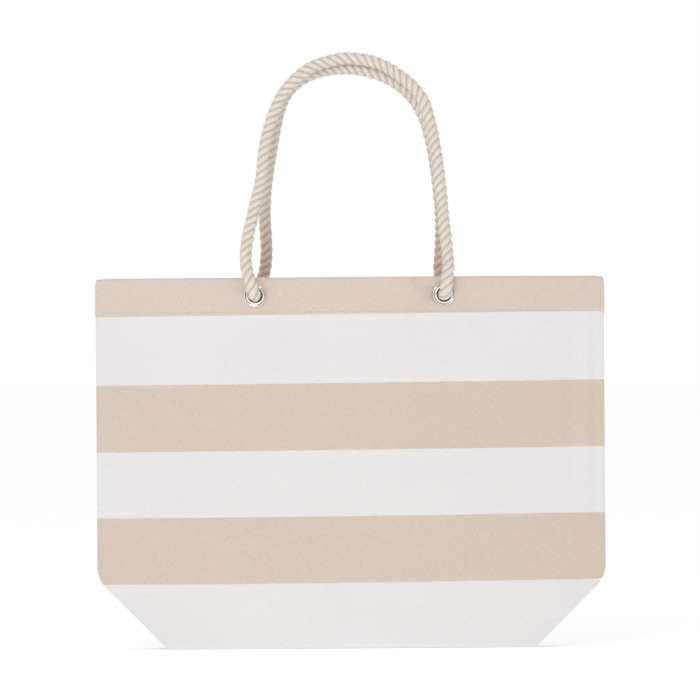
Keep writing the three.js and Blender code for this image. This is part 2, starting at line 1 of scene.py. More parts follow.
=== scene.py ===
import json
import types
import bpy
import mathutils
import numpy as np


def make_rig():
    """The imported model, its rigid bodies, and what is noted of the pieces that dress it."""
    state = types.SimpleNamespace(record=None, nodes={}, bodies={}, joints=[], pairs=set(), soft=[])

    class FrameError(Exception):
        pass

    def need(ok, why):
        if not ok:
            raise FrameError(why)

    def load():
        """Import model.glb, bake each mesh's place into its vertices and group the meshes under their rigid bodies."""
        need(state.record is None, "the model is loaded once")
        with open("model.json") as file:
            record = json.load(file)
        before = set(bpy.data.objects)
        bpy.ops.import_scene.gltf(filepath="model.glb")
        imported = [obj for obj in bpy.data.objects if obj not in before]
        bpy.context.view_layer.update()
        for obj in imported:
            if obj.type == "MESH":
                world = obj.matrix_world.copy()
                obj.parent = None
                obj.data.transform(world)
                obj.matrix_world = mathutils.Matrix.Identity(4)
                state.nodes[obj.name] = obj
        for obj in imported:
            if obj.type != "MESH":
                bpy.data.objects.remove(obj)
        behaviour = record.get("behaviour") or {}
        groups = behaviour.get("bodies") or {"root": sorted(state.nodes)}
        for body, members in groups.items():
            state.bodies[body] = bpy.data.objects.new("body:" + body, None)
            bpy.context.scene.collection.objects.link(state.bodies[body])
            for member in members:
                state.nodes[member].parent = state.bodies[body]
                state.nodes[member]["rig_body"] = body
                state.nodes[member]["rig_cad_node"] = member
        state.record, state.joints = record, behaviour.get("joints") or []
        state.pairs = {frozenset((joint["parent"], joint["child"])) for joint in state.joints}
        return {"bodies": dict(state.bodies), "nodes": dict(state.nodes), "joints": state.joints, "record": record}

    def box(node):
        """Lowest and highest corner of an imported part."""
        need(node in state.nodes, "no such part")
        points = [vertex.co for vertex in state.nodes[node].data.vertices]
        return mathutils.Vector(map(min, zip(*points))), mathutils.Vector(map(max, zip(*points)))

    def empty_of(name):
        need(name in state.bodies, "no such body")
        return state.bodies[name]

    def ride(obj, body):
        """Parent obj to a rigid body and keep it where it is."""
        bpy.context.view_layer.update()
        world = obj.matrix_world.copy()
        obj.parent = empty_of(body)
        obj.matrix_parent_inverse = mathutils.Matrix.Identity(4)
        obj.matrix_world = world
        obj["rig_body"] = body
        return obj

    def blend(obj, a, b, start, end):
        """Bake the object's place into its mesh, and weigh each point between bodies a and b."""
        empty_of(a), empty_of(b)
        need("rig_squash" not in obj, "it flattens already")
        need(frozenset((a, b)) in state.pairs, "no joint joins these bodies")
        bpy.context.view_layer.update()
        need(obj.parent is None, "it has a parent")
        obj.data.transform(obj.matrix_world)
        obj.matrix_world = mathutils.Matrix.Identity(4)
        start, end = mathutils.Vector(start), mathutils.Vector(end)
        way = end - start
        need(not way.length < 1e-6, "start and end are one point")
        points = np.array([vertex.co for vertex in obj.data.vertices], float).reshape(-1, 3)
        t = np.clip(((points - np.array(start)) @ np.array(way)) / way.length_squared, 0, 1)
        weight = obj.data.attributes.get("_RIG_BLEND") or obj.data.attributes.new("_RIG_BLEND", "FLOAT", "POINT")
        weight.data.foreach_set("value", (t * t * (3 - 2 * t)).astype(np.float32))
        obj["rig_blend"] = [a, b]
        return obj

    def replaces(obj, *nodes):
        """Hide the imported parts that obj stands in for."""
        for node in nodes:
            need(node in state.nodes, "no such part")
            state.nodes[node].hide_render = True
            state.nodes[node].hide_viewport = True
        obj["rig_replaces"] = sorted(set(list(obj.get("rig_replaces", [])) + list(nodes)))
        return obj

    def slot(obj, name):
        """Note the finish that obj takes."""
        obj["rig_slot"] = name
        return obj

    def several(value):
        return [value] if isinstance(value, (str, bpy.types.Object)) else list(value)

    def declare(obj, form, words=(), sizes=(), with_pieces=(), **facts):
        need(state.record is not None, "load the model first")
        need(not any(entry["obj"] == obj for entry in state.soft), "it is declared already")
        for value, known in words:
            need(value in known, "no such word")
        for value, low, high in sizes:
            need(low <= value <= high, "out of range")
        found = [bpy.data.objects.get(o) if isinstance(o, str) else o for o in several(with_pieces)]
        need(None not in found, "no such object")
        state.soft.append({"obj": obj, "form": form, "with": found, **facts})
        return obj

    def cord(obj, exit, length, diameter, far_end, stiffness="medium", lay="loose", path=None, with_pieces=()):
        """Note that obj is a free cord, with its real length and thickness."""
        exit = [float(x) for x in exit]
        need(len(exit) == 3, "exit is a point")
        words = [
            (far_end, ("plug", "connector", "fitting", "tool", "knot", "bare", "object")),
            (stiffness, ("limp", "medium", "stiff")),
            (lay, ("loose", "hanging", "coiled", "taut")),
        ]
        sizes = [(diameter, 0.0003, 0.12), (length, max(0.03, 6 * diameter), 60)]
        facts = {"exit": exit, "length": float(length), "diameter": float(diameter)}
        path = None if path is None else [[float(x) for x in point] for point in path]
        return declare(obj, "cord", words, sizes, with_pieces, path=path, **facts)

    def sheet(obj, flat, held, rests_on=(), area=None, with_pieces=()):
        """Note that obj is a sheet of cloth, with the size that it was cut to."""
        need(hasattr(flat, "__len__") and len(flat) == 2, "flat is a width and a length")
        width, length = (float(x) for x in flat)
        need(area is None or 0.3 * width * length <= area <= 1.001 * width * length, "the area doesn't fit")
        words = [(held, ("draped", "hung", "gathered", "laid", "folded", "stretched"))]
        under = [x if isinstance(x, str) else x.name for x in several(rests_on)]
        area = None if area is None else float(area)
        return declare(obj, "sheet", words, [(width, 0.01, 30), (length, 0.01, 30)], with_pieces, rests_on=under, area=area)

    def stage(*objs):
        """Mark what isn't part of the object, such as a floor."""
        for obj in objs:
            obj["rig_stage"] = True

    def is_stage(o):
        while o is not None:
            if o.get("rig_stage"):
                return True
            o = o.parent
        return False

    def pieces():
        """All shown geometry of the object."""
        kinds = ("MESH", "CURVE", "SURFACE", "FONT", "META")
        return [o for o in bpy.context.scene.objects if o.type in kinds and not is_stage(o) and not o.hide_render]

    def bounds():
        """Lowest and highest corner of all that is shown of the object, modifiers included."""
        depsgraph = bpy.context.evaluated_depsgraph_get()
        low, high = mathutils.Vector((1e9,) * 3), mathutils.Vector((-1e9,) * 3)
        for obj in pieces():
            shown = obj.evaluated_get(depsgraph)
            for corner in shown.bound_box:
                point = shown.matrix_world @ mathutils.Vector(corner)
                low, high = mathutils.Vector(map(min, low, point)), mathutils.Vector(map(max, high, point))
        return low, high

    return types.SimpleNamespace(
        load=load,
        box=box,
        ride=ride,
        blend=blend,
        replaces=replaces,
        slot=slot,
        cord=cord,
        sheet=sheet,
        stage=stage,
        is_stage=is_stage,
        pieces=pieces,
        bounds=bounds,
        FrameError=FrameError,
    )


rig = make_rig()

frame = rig.load()

import json
import math

import bmesh
import bpy
from mathutils import Matrix, Vector, noise

# The frame. Everything below is in metres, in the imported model's own place: +Z up, front to -Y.
cad_low, cad_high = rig.bounds()
bpy.ops.object.select_all(action="DESELECT")


# ---- camera ----
# A long lens level with the middle of the bag and its handles, so the front is seen square on. It is
# rolled by less than half a degree, because the bag hangs a little out of level.
LENS = 400
SENSOR = 36
FRAME_WIDTH = 0.744
AIM_HEIGHT = 0.3157
ROLL = math.radians(0.4)

bpy.ops.object.camera_add(
    location=(0, -FRAME_WIDTH * LENS / SENSOR, AIM_HEIGHT),
    rotation=(math.radians(90), ROLL, 0),
)
camera = bpy.context.object
camera.data.lens = LENS
camera.data.sensor_width = SENSOR
bpy.context.scene.camera = camera


# ---- the walls' arched shape ----
# Both walls are shallow arched sheets. They meet at the side seams and stand on two base edges, and
# between those the base is pleated upwards into a ridge that reaches the foot of each side seam.
front_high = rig.box("front_panel")[1]
base_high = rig.box("base_panel")[1]
HALF_WIDTH = front_high[0]
WALL_HEIGHT = front_high[2]
BASE_HALF_LENGTH = base_high[0]
CORNER = HALF_WIDTH - BASE_HALF_LENGTH
BASE_SPREAD = 0.030  # from the middle plane to each edge that the bag stands on
RIDGE_DRAWN_UP = 0.0045  # how much higher the slack corners pull the pleat than its plain height
RIDGE_HEIGHT = math.sqrt(CORNER**2 - BASE_SPREAD**2) + RIDGE_DRAWN_UP
BELLY_DEPTH = 0.044  # how far a wall's middle stands out where it is fullest
BELLY_HEIGHT = 0.150
MOUTH_DEPTH = 0.040
SEAM_HALF = 0.00175  # half the thickness of a side seam
HEM_HEIGHT = 0.040
EYELET_X = 0.100
EYELET_Z = WALL_HEIGHT - 0.019


def belly(z):
    """How far a wall's middle stands out beyond the side seams at a height."""
    if z < BELLY_HEIGHT:
        rise = math.sin(z / BELLY_HEIGHT * math.pi / 2)
        return BASE_SPREAD + (BELLY_DEPTH - BASE_SPREAD) * rise
    upper = (z - BELLY_HEIGHT) / (WALL_HEIGHT - BELLY_HEIGHT)
    return BELLY_DEPTH + (MOUTH_DEPTH - BELLY_DEPTH) * math.sin(upper * math.pi / 2) ** 2


def arch(x, z):
    """Distance from the middle plane to a wall's outer face, less half the side seam."""
    crease = min(z / RIDGE_HEIGHT, 1)
    edge = BASE_SPREAD * (1 - crease)
    across = x / (BASE_HALF_LENGTH + CORNER * crease)
    return edge + (belly(z) - edge) * (1 - across**2)


def wall_point(x, z):
    """A point of the front wall's outer face."""
    return Vector((x, -arch(x, z) - SEAM_HALF, z))


def wall_normal(x, z):
    """The front wall's outward direction."""
    step = 0.0005
    along_x = wall_point(x + step, z) - wall_point(x - step, z)
    along_z = wall_point(x, z + step) - wall_point(x, z - step)
    return along_x.cross(along_z).normalized()


# Both halves of the bag are alike, so a back piece is a front piece turned about Z.
TURN_ABOUT = Matrix.Rotation(math.pi, 4, "Z")


# ---- rope handles ----
# Two lengths of three-strand twisted cotton rope. Each runs from a tail and an overhand knot inside
# the bag out through one eyelet, up over in an arch, and back in through the other to its own knot.
ROPE_DIAMETER = 0.013
ROPE_STAND_OFF = 0.0096  # from the wall's outer face to the rope's middle, where the handle swings
SWING_POINT = wall_point(EYELET_X, EYELET_Z) + wall_normal(EYELET_X, EYELET_Z) * ROPE_STAND_OFF
STRAND_LEAD = 0.0255  # the length in which a strand goes once round the rope
UNEVEN_TWIST = 0.55
UNEVEN_RADIUS = 0.03
RING_STEP = 0.0016
RING_POINTS = 30
KNOT_INSIDE = 0.0180  # from the wall's outer face to a knot's middle
KNOT_SCALE = 0.0040
KNOT_RISE = 0.0054
KNOT_STEPS = 20
TAIL_DROP = 0.021
TAIL_LEAN = 0.004  # how far the tail's end hangs towards the wall
ELBOW = 0.008  # radius of the rope's turn from an eyelet's mouth to straight up
ELBOW_SPLAY = 0.0012  # how far the turn leans outwards
EASING_ROUNDS = 5  # how often each point is drawn halfway to its neighbours, to ease sharp turns

# x, how far the rope leans back from its swing axis, and height above the eyelets, in metres, as
# each rope is seen from the front
FRONT_ROUTE = [
    (-0.104, 0.0004, 0.012),
    (-0.1085, 0.0018, 0.027),
    (-0.1095, 0.0042, 0.045),
    (-0.107, 0.0075, 0.063),
    (-0.1025, 0.0115, 0.082),
    (-0.0985, 0.015, 0.1),
    (-0.0935, 0.0185, 0.119),
    (-0.089, 0.025, 0.157),
    (-0.0845, 0.0285, 0.177),
    (-0.0785, 0.0315, 0.195),
    (-0.0695, 0.035, 0.2135),
    (-0.055, 0.0375, 0.2305),
    (-0.039, 0.0385, 0.242),
    (-0.022, 0.039, 0.248),
    (-0.004, 0.039, 0.2515),
    (0.016, 0.039, 0.25),
    (0.035, 0.0385, 0.2445),
    (0.052, 0.0375, 0.2345),
    (0.0675, 0.0355, 0.222),
    (0.0795, 0.0325, 0.206),
    (0.0855, 0.029, 0.187),
    (0.091, 0.024, 0.16),
    (0.0945, 0.02, 0.137),
    (0.098, 0.014, 0.102),
    (0.1005, 0.009, 0.074),
    (0.1035, 0.0045, 0.046),
    (0.1045, 0.0016, 0.026),
    (0.1025, 0.0004, 0.012),
]
BACK_ROUTE = [
    (-0.096, 0.0004, 0.012),
    (-0.0905, 0.0018, 0.027),
    (-0.0885, 0.0045, 0.046),
    (-0.089, 0.008, 0.064),
    (-0.090, 0.012, 0.084),
    (-0.089, 0.017, 0.110),
    (-0.086, 0.021, 0.133),
    (-0.082, 0.0255, 0.156),
    (-0.0785, 0.029, 0.176),
    (-0.074, 0.0325, 0.196),
    (-0.066, 0.0355, 0.214),
    (-0.053, 0.0375, 0.2275),
    (-0.036, 0.0385, 0.2362),
    (-0.016, 0.039, 0.2405),
    (0.005, 0.039, 0.2407),
    (0.025, 0.0388, 0.2368),
    (0.043, 0.038, 0.2298),
    (0.059, 0.0365, 0.219),
    (0.073, 0.0335, 0.203),
    (0.082, 0.0295, 0.184),
    (0.088, 0.025, 0.162),
    (0.0925, 0.0195, 0.136),
    (0.096, 0.0145, 0.108),
    (0.098, 0.0095, 0.080),
    (0.0975, 0.005, 0.050),
    (0.096, 0.002, 0.028),
    (0.098, 0.0004, 0.012),
]


def smooth_line(points, step):
    """A smooth curve through the points, as points one step apart. Between b and c it blends from
    a curve through a, b and c to one through b, c and d."""
    dense = []
    padded = [2 * points[0] - points[1], *points, 2 * points[-1] - points[-2]]
    for a, b, c, d in zip(padded, padded[1:], padded[2:], padded[3:]):
        times = [0.0]
        for p, q in ((a, b), (b, c), (c, d)):
            times.append(times[-1] + math.sqrt((q - p).length))
        pieces = max(4, round((c - b).length / step * 3))
        for i in range(pieces):
            t = times[1] + (times[2] - times[1]) * i / pieces

            def mix(p, q, low, high):
                return p * ((high - t) / (high - low)) + q * ((t - low) / (high - low))

            first = mix(a, b, times[0], times[1])
            second = mix(b, c, times[1], times[2])
            third = mix(c, d, times[2], times[3])
            early = mix(first, second, times[0], times[2])
            late = mix(second, third, times[1], times[3])
            dense.append(mix(early, late, times[1], times[2]))
    dense.append(points[-1].copy())
    return evenly(dense, step)


def evenly(points, step):
    """The same line with its points one even step apart."""
    reach = [0.0]
    for p, q in zip(points, points[1:]):
        reach.append(reach[-1] + (q - p).length)
    count = round(reach[-1] / step)
    spaced = []
    at = 0
    for i in range(count + 1):
        want = reach[-1] * i / count
        while at < len(points) - 2 and reach[at + 1] < want:
            at += 1
        share = (want - reach[at]) / (reach[at + 1] - reach[at])
        spaced.append(points[at].lerp(points[at + 1], min(share, 1)))
    return spaced


def rope_end(side):
    """From a tail's cut end through an overhand knot to just outside the eyelet, in the front half."""
    normal = wall_normal(side * EYELET_X, EYELET_Z)
    face = wall_point(side * EYELET_X, EYELET_Z)
    centre = face - normal * KNOT_INSIDE
    around = Vector((-1, 0, 0))
    down = Vector((0, 0, -1))
    loops = []
    for i in range(KNOT_STEPS + 1):
        t = 2 * math.pi - (2 * math.pi - math.pi / 3) * i / KNOT_STEPS
        radius = 2 + math.cos(3 * t)
        loops.append(
            centre
            + around * (KNOT_SCALE * radius * math.cos(2 * t))
            + down * (KNOT_SCALE * radius * math.sin(2 * t))
            + normal * (KNOT_RISE * math.sin(3 * t))
        )
    tail_top = loops[0]
    tail = [
        tail_top + down * (TAIL_DROP * drop) + normal * (TAIL_LEAN * lean)
        for drop, lean in ((1, 1), (0.62, 0.625), (0.3, 0.25))
    ]
    mouth = face + normal * (ROPE_STAND_OFF - ELBOW)
    through = [face - normal * 0.007, face - normal * 0.003, mouth]
    eighth = math.radians(45)
    elbow = mouth + normal * (ELBOW * math.sin(eighth)) - down * (ELBOW * (1 - math.cos(eighth)))
    elbow.x += side * ELBOW_SPLAY
    return tail + loops + through + [elbow]


def rope_line(route, half):
    """The whole centre line, from one tail to the other. Both ropes are laid in the bag's front
    half, and the back one is then turned about."""
    if half == "back":
        route = [(-x, lean, rise) for x, lean, rise in reversed(route)]
    arc = [Vector((x, SWING_POINT.y + lean, SWING_POINT.z + rise)) for x, lean, rise in route]
    line = rope_end(-1) + arc + rope_end(1)[::-1]
    line = smooth_line(line, RING_STEP)
    for _ in range(EASING_ROUNDS):
        eased = [(p + q * 2 + r) / 4 for p, q, r in zip(line, line[1:], line[2:])]
        line = [line[0], *eased, line[-1]]
    if half == "back":
        line = [TURN_ABOUT @ p for p in line]
    return line


def strand_outline(angle):
    """Distance from a rope's centre to its surface, for three soft strands pressed together."""
    strand = 0.65
    offset = 1 - strand
    apart = (angle + math.pi / 3) % (2 * math.pi / 3) - math.pi / 3
    return offset * math.cos(apart) + math.sqrt(strand**2 - (offset * math.sin(apart)) ** 2)


def sweep_rope(name, line, radius_at, hem_shade_at):
    """A three-strand rope along a line. Its UV map counts turns round it and metres along it. The
    attribute groove grows from 0 on a strand to its most in the dips, and soiled is painted
    shade from the hem, 0 where none is painted."""
    mesh = bpy.data.meshes.new(name)
    rings = len(line)
    side = (line[1] - line[0]).orthogonal().normalized()
    vertices = []
    turns = []
    grooves = []
    hem_shade = []
    reach = 0.0
    reaches = []
    for i, centre in enumerate(line):
        ahead = line[min(i + 1, rings - 1)]
        behind = line[max(i - 1, 0)]
        tangent = (ahead - behind).normalized()
        side = (side - tangent * side.dot(tangent)).normalized()
        other = tangent.cross(side)
        if i:
            reach += (centre - line[i - 1]).length
        reaches.append(reach)
        uneven = noise.noise(Vector((reach * 22, len(name), 0)))
        twist = 2 * math.pi * reach / STRAND_LEAD + UNEVEN_TWIST * uneven
        lumpy = noise.noise(Vector((reach * 60, len(name), 7)))
        radius = radius_at(reach) * (1 + UNEVEN_RADIUS * lumpy)
        for j in range(RING_POINTS):
            angle = 2 * math.pi * j / RING_POINTS
            outline = strand_outline(angle)
            direction = side * math.cos(angle + twist) + other * math.sin(angle + twist)
            vertices.append(centre + direction * (radius * outline))
            grooves.append(1 - outline)
            hem_shade.append(hem_shade_at(reach))
        turns.append(twist / (2 * math.pi))
    faces = []
    uvs = []
    for i in range(rings - 1):
        for j in range(RING_POINTS):
            k = (j + 1) % RING_POINTS
            a, b = i * RING_POINTS, (i + 1) * RING_POINTS
            faces.append((a + j, a + k, b + k, b + j))
            left, right = j / RING_POINTS, (j + 1) / RING_POINTS
            uvs += [
                (left + turns[i], reaches[i]),
                (right + turns[i], reaches[i]),
                (right + turns[i + 1], reaches[i + 1]),
                (left + turns[i + 1], reaches[i + 1]),
            ]
    for ring, facing in ((0, -1), (rings - 1, 1)):
        tip = len(vertices)
        inward = line[ring] - line[ring + (1 if ring == 0 else -1)]
        vertices.append(line[ring] + inward.normalized() * RING_STEP)
        grooves.append(0)
        hem_shade.append(0)
        for j in range(RING_POINTS):
            k = (j + 1) % RING_POINTS
            corners = (ring * RING_POINTS + j, ring * RING_POINTS + k)
            faces.append((corners[1], corners[0], tip) if facing < 0 else (*corners, tip))
            uvs += [(j / RING_POINTS, 0), (j / RING_POINTS, 0), (j / RING_POINTS, 0.002)]
    mesh.from_pydata(vertices, [], faces)
    layer = mesh.uv_layers.new(name="rope")
    for loop, uv in zip(layer.data, uvs):
        loop.uv = uv
    for mark, values in (("groove", grooves), ("hem_shade", hem_shade)):
        mesh.attributes.new(mark, "FLOAT", "POINT").data.foreach_set("value", values)
    mesh.shade_smooth()
    piece = bpy.data.objects.new(name, mesh)
    bpy.context.collection.objects.link(piece)
    return piece


def new_material(name):
    """A material, its nodes and links, and the shader that its finish is set on."""
    material = bpy.data.materials.new(name)
    material.use_nodes = True
    tree = material.node_tree
    return material, tree.nodes, tree.links, tree.nodes["Principled BSDF"]


def feed(links, socket, value):
    """Gives a socket another node's output, a colour or a number."""
    if isinstance(value, bpy.types.NodeSocket):
        links.new(value, socket)
    elif isinstance(value, tuple):
        socket.default_value = (*value, 1)
    else:
        socket.default_value = value


def noise_pattern(nodes, links, places, scale, detail):
    """Noise that is scale times as fine along each axis of its places."""
    stretch = nodes.new("ShaderNodeMapping")
    stretch.inputs["Scale"].default_value = scale
    links.new(places, stretch.inputs["Vector"])
    pattern = nodes.new("ShaderNodeTexNoise")
    pattern.inputs["Scale"].default_value = 1
    pattern.inputs["Detail"].default_value = detail
    links.new(stretch.outputs["Vector"], pattern.inputs["Vector"])
    return pattern.outputs["Fac"]


def uv_places(nodes, uv_map):
    places = nodes.new("ShaderNodeUVMap")
    places.uv_map = uv_map
    return places.outputs["UV"]


def marked(nodes, attribute_name):
    """A mark that a piece's mesh carries."""
    mark = nodes.new("ShaderNodeAttribute")
    mark.attribute_name = attribute_name
    return mark.outputs["Fac"]


def spread_out(nodes, links, value, low, high):
    """0 below low, 1 above high, and even between."""
    spread = nodes.new("ShaderNodeMapRange")
    spread.inputs["From Min"].default_value = low
    spread.inputs["From Max"].default_value = high
    links.new(value, spread.inputs["Value"])
    return spread.outputs["Result"]


def two_tones(nodes, links, value, dark, light, dark_until=0.0, light_from=1.0):
    """A colour that runs from dark to light as a value grows."""
    tones = nodes.new("ShaderNodeValToRGB")
    ends = tones.color_ramp.elements
    ends[0].position = dark_until
    ends[0].color = (*dark, 1)
    ends[1].position = light_from
    ends[1].color = (*light, 1)
    links.new(value, tones.inputs["Fac"])
    return tones.outputs["Color"]


def blended(nodes, links, share, first, second, blend_type="MIX"):
    """The first colour, going over to the second as the share grows."""
    mix = nodes.new("ShaderNodeMix")
    mix.data_type = "RGBA"
    mix.blend_type = blend_type
    feed(links, mix.inputs["Factor"], share)
    feed(links, mix.inputs[6], first)
    feed(links, mix.inputs[7], second)
    return mix.outputs[2]


def raise_bumps(nodes, links, shader, height, strength, depth):
    """Fine relief that is too small for the mesh."""
    bump = nodes.new("ShaderNodeBump")
    bump.inputs["Strength"].default_value = strength
    bump.inputs["Distance"].default_value = depth
    links.new(height, bump.inputs["Height"])
    links.new(bump.outputs["Normal"], shader.inputs["Normal"])


def cotton_rope():
    """Undyed cotton: satiny cream strands and fine yarns running along the rope, with painted shade in the grooves and
    over the legs near the hem.
    """
    material, nodes, links, shader = new_material("cotton_rope")
    shader.inputs["Roughness"].default_value = 0.62
    shader.inputs["Sheen Weight"].default_value = 0.25
    shader.inputs["Sheen Roughness"].default_value = 0.4
    yarns = noise_pattern(nodes, links, uv_places(nodes, "rope"), (34, 90, 1), 3)
    cream = two_tones(nodes, links, yarns, (0.71, 0.65, 0.575), (0.84, 0.79, 0.72), 0.3, 0.7)
    # Painted shade: the dips between the strands are darkened towards a brown
    groove = spread_out(nodes, links, marked(nodes, "groove"), 0.06, 0.26)
    shaded = blended(nodes, links, groove, cream, (0.52, 0.445, 0.37))
    # Painted shade: the rope's legs are darkened to a brown just above the eyelets, where they lie against the hem
    hem_shade = marked(nodes, "hem_shade")
    with_hem_shade = blended(nodes, links, hem_shade, shaded, (0.95, 0.80, 0.70), "MULTIPLY")
    links.new(with_hem_shade, shader.inputs["Base Color"])
    raise_bumps(nodes, links, shader, yarns, 0.5, 0.0005)
    return material


rope_material = cotton_rope()
# How far along the rope from a cut end its knot ends, its turn upwards comes, and its painted shade from the hem has
# faded out
KNOT_REACH = 0.135
ELBOW_REACH = 0.160
LEG_REACH = 0.255
# How deep the painted shade from the hem is on each rope
HEM_SHADE_DEPTH = {"front": 0.10, "back": 0.75}
BEND_START = Vector((0, 0.0035, -0.0035))  # from the swing axis to where a swung rope starts to bend
BEND_END = Vector((0, -0.010, 0.010))  # and to where it has turned all the way
UPRIGHT = Matrix.Diagonal((0, 1, 1))  # drops a point onto the plane across the swing axis
for half, route in (("front", FRONT_ROUTE), ("back", BACK_ROUTE)):
    line = rope_line(route, half)
    whole = sum((q - p).length for p, q in zip(line, line[1:]))

    def radius_at(reach, whole=whole):
        """Full size over the arch, swollen where it turns out of an eyelet, squeezed in the knots,
        and a little frayed at the cut ends."""
        from_end = min(reach, whole - reach)
        squeezed = min(max((KNOT_REACH - from_end) / 0.02, 0), 1)
        frayed = max(1 - from_end / 0.008, 0)
        swollen = math.exp(-(((from_end - ELBOW_REACH) / 0.009) ** 2))
        return ROPE_DIAMETER / 2 * (1.04 - 0.2 * squeezed + 0.14 * frayed + 0.07 * swollen)

    def hem_shade_at(reach, whole=whole, shade_depth=HEM_SHADE_DEPTH[half]):
        """Painted shade, browner just above the eyelets where the rope lies against the hem."""
        from_end = min(reach, whole - reach)
        return shade_depth * min(max((LEG_REACH - from_end) / 0.06, 0), 1)

    rope = sweep_rope(f"{half}_rope", line, radius_at, hem_shade_at)
    rope.data.materials.append(rope_material)
    bend_start = UPRIGHT @ SWING_POINT + BEND_START
    bend_end = UPRIGHT @ SWING_POINT + BEND_END
    if half == "back":
        bend_start, bend_end = TURN_ABOUT @ bend_start, TURN_ABOUT @ bend_end
    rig.blend(rope, "bag", f"{half}_handle", bend_start, bend_end)
    ends = [f"{half}_left_rope_end", f"{half}_right_rope_end"]
    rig.replaces(rope, f"{half}_rope_handle", *ends)
    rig.slot(rope, "cotton_rope")
    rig.cord(
        rope,
        exit=line[0],
        length=whole,
        diameter=ROPE_DIAMETER,
        far_end="object",
        stiffness="limp",
        lay="loose",
        path=line,
    )


# ---- front and back walls ----
# Yarn-dyed cotton canvas in wide beige and white stripes, one sheet a side. Its top edge is turned
# over to the inside as a deep hem, and its two lower corners fold in along diagonal creases.
CLOTH = 0.0012
CELL = 0.003
SEAM_ROUND = 0.004
TOP_ROUND = 0.0018  # how far below the mouth's edge the cloth starts to turn over
FOOT_ROUND = 0.003
PLEAT_GAP = 0.0008  # from the middle plane to the cloth of either half
CORNER_SOFTNESS = 0.006  # how far from a turned-out corner its rounding reaches
HEM_DEPTH = 0.0031
HOLE = 0.0078
SLACK = 0.0022
RIPPLE = 0.0011
CRUMPLE = 0.0003
EYELET_PULL = 0.0016
EYELET_PUCKER = 0.0007


def fade(value, start, end):
    """0 before start, 1 after end, and smooth between them."""
    share = min(max((value - start) / (end - start), 0), 1)
    return share * share * (3 - 2 * share)


def ridge(x, z, foot, top, width):
    """1 along a straight soft crease from foot to top, falling away to its sides and ends."""
    along = Vector(top) - Vector(foot)
    here = Vector((x, z)) - Vector(foot)
    share = here.dot(along) / along.length_squared
    off = (here - along * share).length / width
    ends = fade(share, 0, 0.3) * (1 - fade(share, 0.7, 1))
    return math.exp(-off * off) * ends


def wrinkle(x, z, seed):
    """How far the soft cloth stands out of its plain arch."""
    place = Vector((x, z, seed))
    free = fade(HALF_WIDTH - abs(x), 0, 0.05) * fade(z, 0.0, 0.05)
    slack = noise.noise(place * 9) * SLACK + noise.noise(place * 21) * RIPPLE
    crumple = noise.noise(Vector((x * 55, z * 30, seed + 4))) * CRUMPLE
    out = (slack + crumple) * free
    for side in (-1, 1):
        away = Vector((x - side * EYELET_X, z - EYELET_Z))
        pull = math.exp(-((away.length / 0.045) ** 2))
        around = math.atan2(away.x, -away.y)
        pucker = math.cos(around * 5 + seed) * fade(away.length, 0.012, 0.03)
        out += pull * (EYELET_PUCKER * pucker - EYELET_PULL)
    return out


# Soft folds of the front: foot and top as across and up, half width, and how far it stands out
FRONT_CREASES = [
    ((0.040, 0.300), (0.090, 0.386), 0.007, 0.0026),
    ((0.056, 0.412), (0.098, 0.364), 0.009, -0.0044),
    ((0.231, 0.120), (0.236, 0.385), 0.007, -0.0014),
    ((0.247, 0.090), (0.252, 0.390), 0.006, 0.0016),
    ((0.262, 0.120), (0.258, 0.360), 0.005, -0.0010),
    ((-0.249, 0.100), (-0.246, 0.370), 0.009, 0.0011),
    ((-0.060, 0.300), (-0.088, 0.350), 0.009, 0.0010),
    ((-0.135, 0.290), (-0.112, 0.355), 0.011, -0.0010),
    ((0.145, 0.300), (0.118, 0.360), 0.010, 0.0009),
]


def soft_corner(place, corner_height):
    """How strongly a point belongs to a turned-out corner, which thick cloth can't fill."""
    away = math.hypot(abs(place.x) - HALF_WIDTH, place.z - corner_height)
    return math.exp(-((away / CORNER_SOFTNESS) ** 2))


def cloth_place(across, up, seed, creases):
    """A point of the laid cloth, with its turned-out corners rounded."""
    place = plain_place(across, up, seed, creases)
    side = 1 if place.x > 0 else -1
    foot = soft_corner(place, RIDGE_HEIGHT)
    top = soft_corner(place, WALL_HEIGHT)
    place.x -= side * (0.0022 * foot + 0.0012 * top)
    place.z += 0.0008 * foot - 0.0014 * top
    return place


